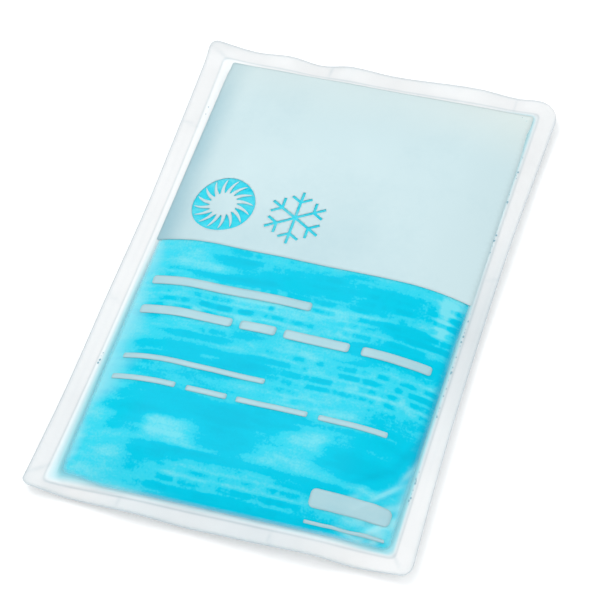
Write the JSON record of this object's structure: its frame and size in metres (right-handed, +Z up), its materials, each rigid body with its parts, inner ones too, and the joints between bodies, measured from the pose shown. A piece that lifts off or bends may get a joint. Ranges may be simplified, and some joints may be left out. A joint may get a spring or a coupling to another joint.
{
  "type": "reusable gel ice pack",
  "caption": "Flat clear pouch of gel for cold or hot use, welded round its rim, with a pale printed panel that shows a sun and a snowflake.",
  "frame": {"origin": "middle of the flat underside, on the surface that the pack lies on, under the middle of the cut outline", "axes": "+X across the pack, to the right as its front is read; +Y along its length, towards the printed end; +Z up, out of the printed front"},
  "size_m": [0.1397, 0.2029, 0.0111],
  "materials": {
    "clear_film": "clear flexible film, soft gloss",
    "blue_gel": "translucent cyan gel, wet gloss",
    "pale_ink": "pale blue-grey screen print under a soft gloss"
  },
  "bodies": {
    "root": {"front_film": "clear_film", "back_film": "clear_film", "gel_fill": "blue_gel", "printed_panel": "pale_ink"}
  },
  "joints": []
}
